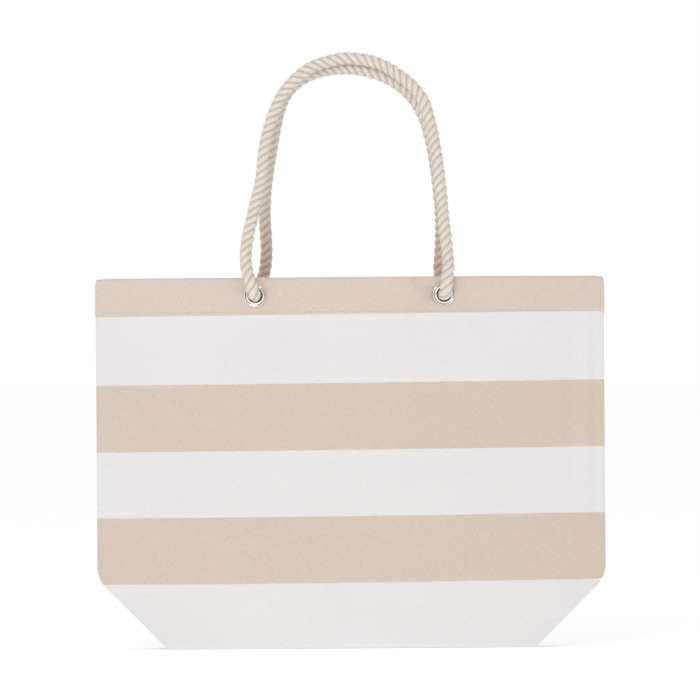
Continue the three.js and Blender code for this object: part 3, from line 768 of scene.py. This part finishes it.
def plain_place(across, up, seed, creases):
    """Where a point of the flat wall lies: across from its middle, up from the ground edge."""
    side = 1 if across > 0 else -1
    beyond = abs(across) - BASE_HALF_LENGTH
    if 0 < beyond and up < beyond:
        in_share = beyond / CORNER
        up_share = max(up, 0) / CORNER
        foot = Vector((BASE_HALF_LENGTH, -BASE_SPREAD - CLOTH / 2, CLOTH / 2))
        inner = Vector((BASE_HALF_LENGTH, -PLEAT_GAP, RIDGE_HEIGHT))
        outer = Vector((HALF_WIDTH, -PLEAT_GAP, RIDGE_HEIGHT))
        place = foot + (inner - foot) * (in_share - up_share) + (outer - foot) * up_share
        return Vector((side * place.x, place.y, place.z))
    if up < CORNER:
        z = up * RIDGE_HEIGHT / CORNER
    elif up <= WALL_HEIGHT:
        z = RIDGE_HEIGHT + (up - CORNER) * (WALL_HEIGHT - RIDGE_HEIGHT) / (WALL_HEIGHT - CORNER)
    else:
        z = 2 * WALL_HEIGHT - up
    turned = fade(up, WALL_HEIGHT - 0.001, WALL_HEIGHT + 0.002)
    out = wrinkle(across, z, seed)
    for foot, top, width, height in creases:
        out += height * ridge(across, z, foot, top, width)
    edge = min(abs(HALF_WIDTH - abs(across)) / SEAM_ROUND, 1)
    seam = SEAM_HALF * math.sqrt(1 - (1 - edge) ** 2) if z > RIDGE_HEIGHT else SEAM_HALF
    depth = arch(across, z) + max(seam, 0.0003) + out
    depth -= min(HEM_DEPTH * turned, max(depth - PLEAT_GAP, 0))
    if z < FOOT_ROUND:
        depth -= CLOTH * (1 - math.sqrt(1 - (1 - z / FOOT_ROUND) ** 2))
    top_round = fade(z, WALL_HEIGHT - TOP_ROUND, WALL_HEIGHT) * HEM_DEPTH * 0.3
    depth += -top_round if up <= WALL_HEIGHT else top_round
    return Vector((across, -depth, z))


def wall_cloth(name, seed, creases):
    """A flat grid the size of the cut cloth, cut along its creases, then laid in its place."""
    height = WALL_HEIGHT + HEM_HEIGHT
    columns = round(2 * HALF_WIDTH / CELL)
    rows = round(height / CELL)
    bpy.ops.mesh.primitive_grid_add(x_subdivisions=columns, y_subdivisions=rows, size=1)
    cloth = bpy.context.object
    cloth.name = name
    for vertex in cloth.data.vertices:
        vertex.co = (vertex.co.x * 2 * HALF_WIDTH, (vertex.co.y + 0.5) * height, 0)
    bpy.ops.object.mode_set(mode="EDIT")
    for side in (-1, 1):
        bpy.ops.mesh.select_all(action="SELECT")
        bpy.ops.mesh.bisect(plane_co=(side * BASE_HALF_LENGTH, 0, 0), plane_no=(side, -1, 0))
    for level in (WALL_HEIGHT - TOP_ROUND, WALL_HEIGHT, WALL_HEIGHT + TOP_ROUND):
        bpy.ops.mesh.select_all(action="SELECT")
        bpy.ops.mesh.bisect(plane_co=(0, level, 0), plane_no=(0, 1, 0))
    for edge in (0.0008, 0.002):
        for side in (-1, 1):
            bpy.ops.mesh.select_all(action="SELECT")
            bpy.ops.mesh.bisect(plane_co=(side * (HALF_WIDTH - edge), 0, 0), plane_no=(1, 0, 0))
    bpy.ops.mesh.select_all(action="SELECT")
    bpy.ops.mesh.remove_doubles(threshold=0.0002)
    bpy.ops.object.mode_set(mode="OBJECT")

    bm = bmesh.new()
    bm.from_mesh(cloth.data)
    uv_layer = bm.loops.layers.uv.new("cloth")
    for face in bm.faces:
        for loop in face.loops:
            loop[uv_layer].uv = (loop.vert.co.x, loop.vert.co.y)
    punched = []
    for vertex in bm.verts:
        up = vertex.co.y
        z = up if up <= WALL_HEIGHT else 2 * WALL_HEIGHT - up
        if math.hypot(abs(vertex.co.x) - EYELET_X, z - EYELET_Z) < HOLE:
            punched.append(vertex)
        else:
            vertex.co = cloth_place(vertex.co.x, up, seed, creases)
    bmesh.ops.delete(bm, geom=punched, context="VERTS")
    bm.normal_update()
    bm.to_mesh(cloth.data)
    bm.free()

    thick = cloth.modifiers.new("thickness", "SOLIDIFY")
    thick.thickness = CLOTH
    thick.offset = -1
    bpy.ops.object.modifier_apply(modifier=thick.name)
    bpy.ops.object.shade_smooth_by_angle(angle=math.radians(50))
    return cloth


# Stripe edges, measured up the cloth from the ground edge. The band at the top is the deep hem.
STRIPE_EDGES = (0.0712, 0.1415, 0.2112, 0.2816, 0.3541)
OFF_GRAIN = 0.006  # how far the stripes climb for each metre across
WHITE = (0.778, 0.757, 0.759)
BEIGE = (0.640, 0.540, 0.448)
HEM_BEIGE = (0.665, 0.565, 0.485)
DARK_FLECK = (0.38, 0.28, 0.21)
EDGE_BLUR = 0.0004  # half the width over which one colour goes over to the next


def worked_out(nodes, links, operation, first, second):
    """The result of a sum of two numbers or other nodes' outputs."""
    maths = nodes.new("ShaderNodeMath")
    maths.operation = operation
    feed(links, maths.inputs[0], first)
    feed(links, maths.inputs[1], second)
    return maths.outputs[0]


def striped_canvas():
    """Plain-weave canvas, dyed in the yarn, so that its beige is flecked with paler threads."""
    material, nodes, links, shader = new_material("striped_canvas")
    shader.inputs["Roughness"].default_value = 0.9
    shader.inputs["Sheen Weight"].default_value = 0.15
    shader.inputs["Specular IOR Level"].default_value = 0.25
    places = uv_places(nodes, "cloth")

    def threads(scale, detail):
        return noise_pattern(nodes, links, places, scale, detail)

    def maths(operation, a, b):
        return worked_out(nodes, links, operation, a, b)

    def mixed(share, first, second):
        return blended(nodes, links, share, first, second)

    weft = threads((170, 1900, 1), 2)
    warp = threads((1900, 170, 1), 2)
    slubs = threads((35, 300, 1), 2)
    cloudy = threads((7, 7, 1), 3)

    parts = nodes.new("ShaderNodeSeparateXYZ")
    links.new(places, parts.inputs["Vector"])
    wobble = maths("MULTIPLY", maths("SUBTRACT", threads((160, 20, 1), 1), 0.5), 0.0012)
    level = maths("SUBTRACT", parts.outputs["Y"], maths("MULTIPLY", parts.outputs["X"], OFF_GRAIN))
    up = maths("ADD", level, wobble)

    # The yarn is beige from each odd edge up to the next, and the last edge is the hem's
    dyed = 0.0
    for i, edge in enumerate(STRIPE_EDGES):
        past_edge = spread_out(nodes, links, up, edge - EDGE_BLUR, edge + EDGE_BLUR)
        dyed = maths("SUBTRACT" if i % 2 else "ADD", dyed, past_edge)
    beige = mixed(past_edge, BEIGE, HEM_BEIGE)

    fleck = maths("ADD", maths("MULTIPLY", weft, 0.55), maths("MULTIPLY", warp, 0.45))
    fleck_share = spread_out(nodes, links, fleck, 0.40, 0.60)
    pale = mixed(0.22, beige, WHITE)
    deep = mixed(0.14, beige, DARK_FLECK)
    flecked = mixed(fleck_share, deep, pale)
    white_low = tuple(c * 0.955 for c in WHITE)
    white_high = tuple(c * 1.03 for c in WHITE)
    white = mixed(fleck_share, white_low, white_high)
    cloth = mixed(dyed, white, flecked)

    shade = maths("ADD", maths("MULTIPLY", slubs, 0.05), maths("MULTIPLY", cloudy, 0.06))
    toned = nodes.new("ShaderNodeHueSaturation")
    links.new(cloth, toned.inputs["Color"])
    links.new(maths("ADD", shade, 0.945), toned.inputs["Value"])
    links.new(toned.outputs["Color"], shader.inputs["Base Color"])

    weave = maths("ADD", fleck, maths("MULTIPLY", slubs, 0.5))
    raise_bumps(nodes, links, shader, weave, 0.35, 0.0006)
    return material


canvas = striped_canvas()
WALL_SEEDS = {"front": 3.0, "back": 17.0}  # each wall's own small wrinkles
for half, seed in WALL_SEEDS.items():
    wall = wall_cloth(f"{half}_wall_cloth", seed, FRONT_CREASES if half == "front" else [])
    if half == "back":
        wall.data.transform(TURN_ABOUT)
    wall.data.materials.append(canvas)
    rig.ride(wall, "bag")
    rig.replaces(wall, f"{half}_panel", f"{half}_hem_facing")
    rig.slot(wall, "striped_canvas")
    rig.sheet(wall, flat=(2 * HALF_WIDTH, WALL_HEIGHT + HEM_HEIGHT), held="stretched")


# ---- eyelets and washers ----
# Stamped brass, nickel plated and polished: a rolled flange outside with a short barrel, clenched
# over a flat washer inside the hem.
EYELET_HOLE = 0.0144
FLANGE_DIAMETER = 0.024
FLANGE = 0.0016
BARREL_WALL = 0.0009
WASHER = 0.0012
SUNK = 0.0009  # how deep the clenched metal presses into the cloth on each side
RING_SIDES = 72


def polished_nickel():
    """Bright nickel, faintly smeared, with painted shade darkening it to a deep brown in its grooves, at its hole and
    over its barrel.
    """
    material, nodes, links, shader = new_material("polished_nickel")
    shader.inputs["Metallic"].default_value = 1
    places = nodes.new("ShaderNodeTexCoord")
    smears = noise_pattern(nodes, links, places.outputs["Object"], (90, 90, 90), 2)
    gloss = nodes.new("ShaderNodeMapRange")
    gloss.inputs["To Min"].default_value = 0.10
    gloss.inputs["To Max"].default_value = 0.24
    links.new(smears, gloss.inputs["Value"])
    links.new(gloss.outputs["Result"], shader.inputs["Roughness"])
    # Painted shade: the metal goes over to a deep brown in the flange's groove, at the hole and in the barrel
    metal_shade = marked(nodes, "metal_shade")
    tone = blended(nodes, links, metal_shade, (0.86, 0.84, 0.81), (0.10, 0.075, 0.06))
    links.new(tone, shader.inputs["Base Color"])
    return material


def flange_shape(share):
    """A flange's height over its width: the barrel's roll, a fine groove, and a lower outer lip."""
    roll = math.sqrt(max(1 - ((share - 0.32) / 0.32) ** 2, 0))
    lip = 0.62 * math.sqrt(max(1 - ((share - 0.84) / 0.16) ** 2, 0))
    return max(roll, lip, 0.2 * (1 - share))


def washer_shape(share):
    """A washer's height over its width: flat, with rounded edges."""
    return (1 - abs(2 * share - 1) ** 6) ** 0.5


def ring_piece(name, hole, rim, height, shape):
    """A ring about Z, resting on height 0, with its upper side to a shape."""
    bpy.ops.object.select_all(action="DESELECT")
    bpy.ops.mesh.primitive_torus_add(
        major_segments=RING_SIDES,
        minor_segments=48,
        major_radius=(rim + hole) / 2,
        minor_radius=(rim - hole) / 2,
    )
    ring = bpy.context.object
    ring.name = name
    shares = []
    for vertex in ring.data.vertices:
        share = (vertex.co.xy.length - hole) / (rim - hole)
        above = vertex.co.z > 1e-6
        vertex.co.z = height * shape(min(max(share, 0), 1)) if above else 0
        shares.append(share)
    # Painted shade in the flange's groove and towards its hole
    in_groove = [math.exp(-(((share - 0.66) / 0.05) ** 2)) for share in shares]
    at_hole = [1 - fade(share, 0.02, 0.20) for share in shares]
    shade_share = [max(pair) for pair in zip(in_groove, at_hole)]
    ring.data.attributes.new("metal_shade", "FLOAT", "POINT").data.foreach_set("value", shade_share)
    return ring


def barrel_piece(hole, wall, length):
    """An open tube about Z, hanging down from height 0."""
    bpy.ops.object.select_all(action="DESELECT")
    bpy.ops.mesh.primitive_cylinder_add(
        vertices=RING_SIDES, radius=hole + wall, depth=length, end_fill_type="NOTHING"
    )
    barrel = bpy.context.object
    barrel.data.transform(Matrix.Translation((0, 0, -length / 2 + 0.0004)))
    thick = barrel.modifiers.new("wall", "SOLIDIFY")
    thick.thickness = wall
    thick.offset = -1
    bpy.ops.object.modifier_apply(modifier=thick.name)
    rounded = barrel.modifiers.new("rounding", "BEVEL")
    rounded.width = wall * 0.3
    rounded.segments = 2
    bpy.ops.object.modifier_apply(modifier=rounded.name)
    # Painted shade: the barrel, deep in the hole, is darkened all over
    shade_share = [0.85] * len(barrel.data.vertices)
    barrel.data.attributes.new("metal_shade", "FLOAT", "POINT").data.foreach_set("value", shade_share)
    return barrel


def joined(first, second):
    """Two pieces as one, which keeps the first one's name."""
    bpy.ops.object.select_all(action="DESELECT")
    first.select_set(True)
    second.select_set(True)
    bpy.context.view_layer.objects.active = first
    bpy.ops.object.join()
    return first


nickel = polished_nickel()
for half in ("front", "back"):
    for side in (-1, 1):
        seen = side if half == "front" else -side
        name = f"{half}_{'left' if seen < 0 else 'right'}"
        x = side * EYELET_X
        normal = wall_normal(x, EYELET_Z)
        turn = normal.to_track_quat("Z", "Y").to_matrix().to_4x4()
        face = wall_point(x, EYELET_Z)

        rim = FLANGE_DIAMETER / 2
        eyelet = ring_piece(f"{name}_eyelet_ring", EYELET_HOLE / 2, rim, FLANGE, flange_shape)
        eyelet = joined(eyelet, barrel_piece(EYELET_HOLE / 2, BARREL_WALL, HEM_DEPTH + 0.004))
        place = Matrix.Translation(face - normal * SUNK) @ turn

        barrel_rim = EYELET_HOLE / 2 + BARREL_WALL
        washer = ring_piece(f"{name}_washer_ring", barrel_rim, rim, WASHER, washer_shape)
        washer.data.transform(Matrix.Rotation(math.pi, 4, "X"))
        inside = Matrix.Translation(face - normal * (HEM_DEPTH + CLOTH + SUNK)) @ turn

        for piece, where, node in ((eyelet, place, "eyelet"), (washer, inside, "eyelet_washer")):
            piece.data.transform(where)
            if half == "back":
                piece.data.transform(TURN_ABOUT)
            piece.data.materials.clear()
            piece.data.materials.append(nickel)
            bpy.context.view_layer.objects.active = piece
            bpy.ops.object.select_all(action="DESELECT")
            piece.select_set(True)
            bpy.ops.object.shade_smooth_by_angle(angle=math.radians(40))
            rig.ride(piece, "bag")
            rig.replaces(piece, f"{name}_{node}")
            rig.slot(piece, "polished_nickel")


# ---- base ----
# Plain off-white canvas, pleated upwards along its middle, sewn to the walls along its long edges
# and to their folded corners at its ends.
BASE_UNDER = 0.0009  # how far the base's edges lie inside the walls
BASE_SLACK = 0.0012
BASE_BAND = 0.06  # the base is cut from the plain white below the lowest stripe


def base_point(x, slope, side):
    """A point of the base's upper face: slope is 0 at a long edge and 1 at the pleat's ridge."""
    bend = math.sin(slope * math.pi)
    uneven = noise.noise(Vector((x * 14, side * (1 - slope) * 10, 9))) * 0.0016
    slack = bend * (BASE_SLACK + uneven)
    sag = fade(BASE_HALF_LENGTH - abs(x), 0, 0.03)
    ridge_round = 0.0015 * max(1 - (1 - slope) / 0.05, 0)
    z = (RIDGE_HEIGHT - PLEAT_GAP) * slope - slack * sag - ridge_round
    return Vector((x, side * (BASE_SPREAD - BASE_UNDER) * (1 - slope), max(z, CLOTH / 2)))


def base_cloth():
    """A flat grid, bent up along its middle, with a soft sag between its edges."""
    bpy.ops.object.select_all(action="DESELECT")
    bpy.ops.mesh.primitive_grid_add(x_subdivisions=98, y_subdivisions=40, size=1)
    cloth = bpy.context.object
    cloth.name = "base_cloth"
    mesh = cloth.data
    layer = mesh.uv_layers.active
    layer.name = "cloth"
    for loop, corner in zip(mesh.loops, layer.data):
        flat = mesh.vertices[loop.vertex_index].co
        corner.uv = (flat.x * 2 * BASE_HALF_LENGTH, (flat.y + 0.5) * BASE_BAND)
    for vertex in mesh.vertices:
        side = -1 if vertex.co.y < 0 else 1
        vertex.co = base_point(vertex.co.x * 2 * BASE_HALF_LENGTH, 1 - abs(vertex.co.y) * 2, side)
    return cloth


base = base_cloth()
thick = base.modifiers.new("thickness", "SOLIDIFY")
thick.thickness = CLOTH
thick.offset = -1
bpy.ops.object.modifier_apply(modifier=thick.name)
bpy.ops.object.shade_smooth_by_angle(angle=math.radians(60))
base.data.materials.append(canvas)
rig.ride(base, "bag")
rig.replaces(base, "base_panel")
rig.slot(base, "base_canvas")
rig.sheet(base, flat=(2 * BASE_HALF_LENGTH, 2 * CORNER), held="folded")


# ---- seam tapes and stitching ----
# Herringbone cotton tape, folded round the raw edges of the side seams and laid flat over the base
# and corner seams. Every tape and the deep hem are sewn down with rows of cotton thread.
TAPE_WIDTH = 0.012
TAPE = 0.0005
TAPE_INSET = 0.004
TAPE_FOLD = 0.0006
TAPE_CELL = 0.003
RIB = 0.0006
STITCH = 0.0030
STITCH_GAP = 0.0011
THREAD = 0.00042
STITCH_INSET = 0.0016  # from a flat tape's edge to its stitching
LEAN = math.atan2(BASE_SPREAD, RIDGE_HEIGHT)  # between the base's slope and upright


def cotton_tape():
    """Narrow woven cotton with slanting ribs that turn back along its middle."""
    material, nodes, links, shader = new_material("cotton_tape")
    shader.inputs["Roughness"].default_value = 0.85
    shader.inputs["Sheen Weight"].default_value = 0.2
    parts = nodes.new("ShaderNodeSeparateXYZ")
    links.new(uv_places(nodes, "tape"), parts.inputs["Vector"])
    turned = worked_out(nodes, links, "PINGPONG", parts.outputs["X"], TAPE_WIDTH / 4)
    slanted = worked_out(nodes, links, "ADD", turned, parts.outputs["Y"])
    ribs = worked_out(nodes, links, "PINGPONG", slanted, RIB)
    height = spread_out(nodes, links, ribs, 0, RIB)
    tone = two_tones(nodes, links, height, (0.62, 0.57, 0.50), (0.80, 0.76, 0.70))
    links.new(tone, shader.inputs["Base Color"])
    raise_bumps(nodes, links, shader, height, 0.6, 0.0003)
    return material


def cotton_thread():
    """Three-ply sewing thread, paler on its crowns."""
    material, nodes, links, shader = new_material("cotton_thread")
    shader.inputs["Roughness"].default_value = 0.6
    places = nodes.new("ShaderNodeTexCoord")
    plies = noise_pattern(nodes, links, places.outputs["Object"], (1500, 1500, 1500), 2)
    tone = two_tones(nodes, links, plies, (0.56, 0.49, 0.42), (0.74, 0.67, 0.60))
    links.new(tone, shader.inputs["Base Color"])
    return material


def tape_piece(name, width, length, place):
    """A strip of tape, where place gives a point from metres across it and metres along it."""
    bpy.ops.object.select_all(action="DESELECT")
    rows = max(round(length / TAPE_CELL), 8)
    bpy.ops.mesh.primitive_grid_add(x_subdivisions=20, y_subdivisions=rows, size=1)
    tape = bpy.context.object
    tape.name = name
    mesh = tape.data
    layer = mesh.uv_layers.active
    layer.name = "tape"
    for loop, corner in zip(mesh.loops, layer.data):
        flat = mesh.vertices[loop.vertex_index].co
        corner.uv = ((flat.x + 0.5) * width, (flat.y + 0.5) * length)
    for vertex in mesh.vertices:
        vertex.co = place((vertex.co.x + 0.5) * width, (vertex.co.y + 0.5) * length)
    thick = tape.modifiers.new("thickness", "SOLIDIFY")
    thick.thickness = TAPE
    thick.offset = 0
    bpy.ops.object.modifier_apply(modifier=thick.name)
    bpy.ops.object.shade_smooth_by_angle(angle=math.radians(50))
    tape.data.materials.append(tape_material)
    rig.ride(tape, "bag")
    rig.slot(tape, "cotton_tape")
    return tape


def stitch_row(name, at, length):
    """A row of stitches, where at gives a point and its outward direction from metres along it."""
    bpy.ops.object.select_all(action="DESELECT")
    bpy.ops.mesh.primitive_uv_sphere_add(segments=8, ring_count=6, radius=1)
    row = bpy.context.object
    row.name = name
    bm = bmesh.new()
    count = int(length / (STITCH + STITCH_GAP))
    for i in range(count):
        middle = (i + 0.5) * length / count
        here, out = at(middle)
        along = (at(middle + 0.0005)[0] - here).normalized()
        across = out.cross(along).normalized()
        turn = Matrix((along * STITCH / 2, across * THREAD, out * THREAD)).transposed().to_4x4()
        copy = row.data.copy()
        copy.transform(Matrix.Translation(here) @ turn)
        bm.from_mesh(copy)
        bpy.data.meshes.remove(copy)
    bm.to_mesh(row.data)
    bm.free()
    bpy.ops.object.shade_smooth()
    row.data.materials.append(thread_material)
    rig.ride(row, "bag")
    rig.slot(row, "cotton_tape")
    return row


tape_material = cotton_tape()
thread_material = cotton_thread()

# Side seams: the tape stands in from each seam, folded round it, from the pleat's end to the hem.
SIDE_TAPE_FOOT = 0.073
SIDE_TAPE_LENGTH = WALL_HEIGHT - HEM_HEIGHT + 0.002 - SIDE_TAPE_FOOT
SIDE_STITCH_INSET = 0.002
for side, side_name in ((-1, "left"), (1, "right")):

    def round_seam(across, along, side=side):
        """The two flat leaves of the folded tape, and the small round of its fold."""
        z = SIDE_TAPE_FOOT + along
        leaf = TAPE_WIDTH - TAPE_FOLD
        sway = noise.noise(Vector((side * 3, 0, z * 30))) * 0.0004
        if across < leaf:
            flat_in, y = across, TAPE_FOLD
        elif across > leaf + math.pi * TAPE_FOLD:
            flat_in, y = 2 * leaf + math.pi * TAPE_FOLD - across, -TAPE_FOLD
        else:
            turn = (across - leaf) / TAPE_FOLD
            flat_in, y = leaf + math.sin(turn) * TAPE_FOLD, math.cos(turn) * TAPE_FOLD
        return Vector((side * (HALF_WIDTH - TAPE_INSET - flat_in), side * (y + sway), z))

    width = 2 * (TAPE_WIDTH - TAPE_FOLD) + math.pi * TAPE_FOLD
    tape = tape_piece(f"{side_name}_side_tape", width, SIDE_TAPE_LENGTH, round_seam)
    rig.replaces(tape, f"{side_name}_side_seam_binding")
    for face, face_name in ((1, "inner"), (-1, "outer")):
        to_stitches = TAPE_WIDTH - SIDE_STITCH_INSET
        across = to_stitches if face > 0 else width - to_stitches

        def on_leaf(along, across=across, face=face, side=side, round_seam=round_seam):
            out = Vector((0, side * face, 0))
            return round_seam(across, along) + out * TAPE * 0.5, out

        stitch_row(f"{side_name}_side_{face_name}_stitching", on_leaf, SIDE_TAPE_LENGTH)

# Base seams: flat on the base's slope. The corner tapes lie over the pleat's ends like a saddle.
BASE_TAPE_FOOT = 0.16  # share of the slope below a base tape
BASE_TAPE_REACH = BASE_HALF_LENGTH - 0.025
CORNER_TAPE_FOOT = 0.36  # share of the slope below a corner tape's ends
SLOPE_LENGTH = math.hypot(RIDGE_HEIGHT, BASE_SPREAD)
for half, side in (("front", -1), ("back", 1)):
    out = Vector((0, side * math.cos(LEAN), math.sin(LEAN)))

    def on_slope(across, along, side=side, out=out):
        slope = BASE_TAPE_FOOT + across / SLOPE_LENGTH
        return base_point(side * (along - BASE_TAPE_REACH), slope, side) + out * 0.0006

    tape = tape_piece(f"{half}_base_tape", TAPE_WIDTH, 2 * BASE_TAPE_REACH, on_slope)
    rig.replaces(tape, f"{half}_base_seam_binding")
    for across in (STITCH_INSET, TAPE_WIDTH - STITCH_INSET):

        def along_edge(along, across=across, on_slope=on_slope, out=out):
            return on_slope(across, along) + out * TAPE * 0.5, out

        edge = "lower" if across < TAPE_WIDTH / 2 else "upper"
        stitch_row(f"{half}_base_{edge}_stitching", along_edge, 2 * BASE_TAPE_REACH)

for end, end_name in ((-1, "left"), (1, "right")):
    arm = SLOPE_LENGTH * (1 - CORNER_TAPE_FOOT)

    def over_ridge(across, along, end=end, arm=arm):
        side = -1 if along < arm else 1
        slope = 1 - abs(along - arm) / SLOPE_LENGTH
        out = Vector((0, side * math.cos(LEAN), math.sin(LEAN)))
        on_base = base_point(end * BASE_HALF_LENGTH, slope, side)
        return on_base + out * 0.0009 + Vector((end * (across - TAPE_WIDTH / 2), 0, 0.0004))

    tape = tape_piece(f"{end_name}_corner_tape", TAPE_WIDTH, 2 * arm, over_ridge)
    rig.replaces(tape, f"{end_name}_corner_seam_binding")
    for across in (STITCH_INSET, TAPE_WIDTH - STITCH_INSET):

        def on_edge(along, across=across, over_ridge=over_ridge, arm=arm):
            side = -1 if along < arm else 1
            out = Vector((0, side * math.cos(LEAN), math.sin(LEAN)))
            return over_ridge(across, along) + out * TAPE * 0.5, out

        edge = "inner" if across < TAPE_WIDTH / 2 else "outer"
        stitch_row(f"{end_name}_corner_{edge}_stitching", on_edge, 2 * arm)

# The hem's stitching shows on each wall's outer face, just above the hem's lower edge.
HEM_STITCH_HEIGHT = STRIPE_EDGES[-1] + 0.0022
HEM_STITCH_INSET = 0.004
for half, seed in WALL_SEEDS.items():

    def on_hem(along, half=half, seed=seed):
        x = along - HALF_WIDTH + HEM_STITCH_INSET
        creases = FRONT_CREASES if half == "front" else []
        here = cloth_place(x, HEM_STITCH_HEIGHT, seed, creases)
        out = wall_normal(x, HEM_STITCH_HEIGHT)
        here += out * THREAD * 0.3
        return (here, out) if half == "front" else (TURN_ABOUT @ here, TURN_ABOUT @ out)

    stitch_row(f"{half}_hem_stitching", on_hem, 2 * (HALF_WIDTH - HEM_STITCH_INSET))


# ---- floor and light ----
# A pale seamless floor, and the even light of a white studio with one large soft lamp to the left.
# The floor gives off a little light of its own, so that it runs into the white behind it unseen.
FLOOR_RADIUS = 60
ROOM_LIGHT = 0.71  # the walls' light on the bag, next to the white that the camera sees
DARK_EDGE = (0.05, 0.045, 0.04)
STUDIO_WHITE = (1.0, 1.0, 1.0)

bpy.ops.object.select_all(action="DESELECT")
bpy.ops.mesh.primitive_circle_add(
    vertices=96, radius=FLOOR_RADIUS, fill_type="NGON", location=(0, 0, -0.0005)
)
floor = bpy.context.object
floor.name = "floor"
floor_paint, _, _, floor_shader = new_material("floor_paint")
floor_shader.inputs["Base Color"].default_value = (0.97, 0.97, 0.97, 1)
floor_shader.inputs["Roughness"].default_value = 1
floor_shader.inputs["Specular IOR Level"].default_value = 0
floor_shader.inputs["Emission Color"].default_value = (1, 1, 1, 1)
floor_shader.inputs["Emission Strength"].default_value = 0.30
floor.data.materials.append(floor_paint)
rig.stage(floor)


def white_studio():
    """White to the camera and a little less bright on the bag. Its dark edges, which lie in two
    bands before and behind the bag, show only as reflections in the polished metal."""
    world = bpy.data.worlds.new("studio")
    world.use_nodes = True
    nodes = world.node_tree.nodes
    links = world.node_tree.links
    ray = nodes.new("ShaderNodeLightPath")
    way = nodes.new("ShaderNodeTexCoord")
    way_parts = nodes.new("ShaderNodeSeparateXYZ")
    links.new(way.outputs["Generated"], way_parts.inputs["Vector"])
    facing = worked_out(nodes, links, "ABSOLUTE", way_parts.outputs["Y"], 0.0)
    bands = nodes.new("ShaderNodeValToRGB")
    bands.color_ramp.elements[0].position = 0.50
    bands.color_ramp.elements[0].color = (*STUDIO_WHITE, 1)
    bands.color_ramp.elements[1].position = 0.96
    for position in (0.66, 0.86):
        bands.color_ramp.elements.new(position).color = (*DARK_EDGE, 1)
    links.new(facing, bands.inputs["Fac"])
    glossy_ray = ray.outputs["Is Glossy Ray"]
    lit = blended(nodes, links, glossy_ray, (ROOM_LIGHT,) * 3, bands.outputs["Color"])
    seen = blended(nodes, links, ray.outputs["Is Camera Ray"], lit, STUDIO_WHITE)
    links.new(seen, nodes["Background"].inputs["Color"])
    return world


def soft_lamp(name, place, aim, size, power):
    """A large square lamp, turned to face a point."""
    bpy.ops.object.light_add(type="AREA", location=place)
    lamp = bpy.context.object
    lamp.name = name
    lamp.data.size = size
    lamp.data.energy = power
    lamp.rotation_euler = (Vector(aim) - Vector(place)).to_track_quat("-Z", "Y").to_euler()


bpy.context.scene.world = white_studio()
bpy.context.scene.view_settings.view_transform = "Standard"
soft_lamp("key", place=(-0.9, -4.4, 2.0), aim=(0, 0, 0.3), size=1.2, power=45.5)


# ---- sizes ----
# The imported model's box and the finished bag's box, to compare, written to extents.json.
seen_low, seen_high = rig.bounds()
with open("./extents.json", "w") as out:
    json.dump(
        {
            "cad": [list(cad_low), list(cad_high)],
            "visual": [list(seen_low), list(seen_high)],
        },
        out,
    )
